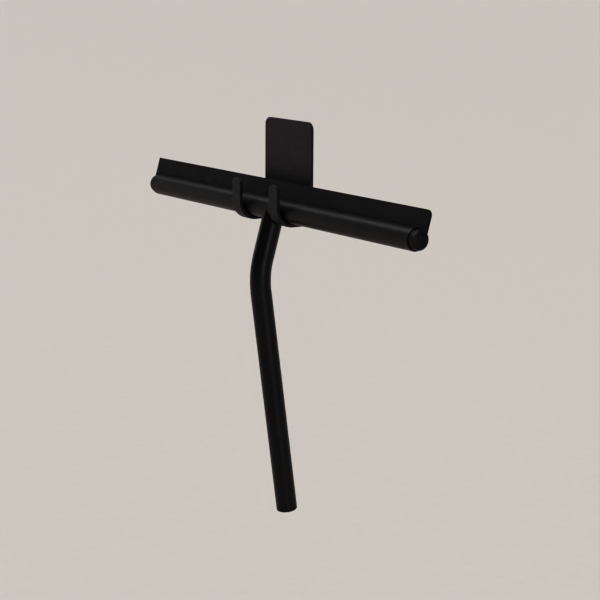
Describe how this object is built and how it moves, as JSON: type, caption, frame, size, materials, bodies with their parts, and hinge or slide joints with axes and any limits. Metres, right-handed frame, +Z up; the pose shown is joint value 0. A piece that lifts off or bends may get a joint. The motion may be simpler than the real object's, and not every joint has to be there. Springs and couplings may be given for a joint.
{
  "type": "shower squeegee with wall holder",
  "caption": "Matt black shower squeegee with a round tubular head, a soft blade and a bent tube handle, hanging on a two-prong adhesive wall holder.",
  "frame": {"origin": "on the adhesive pad's back face, which is the wall plane, behind the middle of the wall plate's flat part", "axes": "+X to the right along the squeegee's head, +Y into the wall along the pad's outward normal, +Z up"},
  "size_m": [0.347, 0.0394, 0.2921],
  "materials": {
    "plate_coating": "matt powder coat",
    "adhesive_foam": "foam tape",
    "head_coating": "matt powder coat",
    "core_plastic": "extruded",
    "blade_silicone": "smooth silicone",
    "cap_plastic": "fine moulded grain",
    "handle_coating": "matt powder coat",
    "steel": "turned"
  },
  "bodies": {
    "holder": {"wall_plate": "plate_coating", "adhesive_pad": "adhesive_foam"},
    "squeegee": {"head_tube": "head_coating", "blade_core": "core_plastic", "silicone_blade": "blade_silicone", "end_cap_left": "cap_plastic", "end_cap_right": "cap_plastic", "handle_tube": "handle_coating", "neck_insert": "steel", "neck_screw": "steel", "saddle_washer": "steel", "handle_end_plug": "cap_plastic"}
  },
  "joints": [
    {"name": "lift_off", "type": "slide", "parent": "holder", "child": "squeegee", "axis": [0, -0.0262, 0.9997], "range_m": [0, 0.3]}
  ]
}
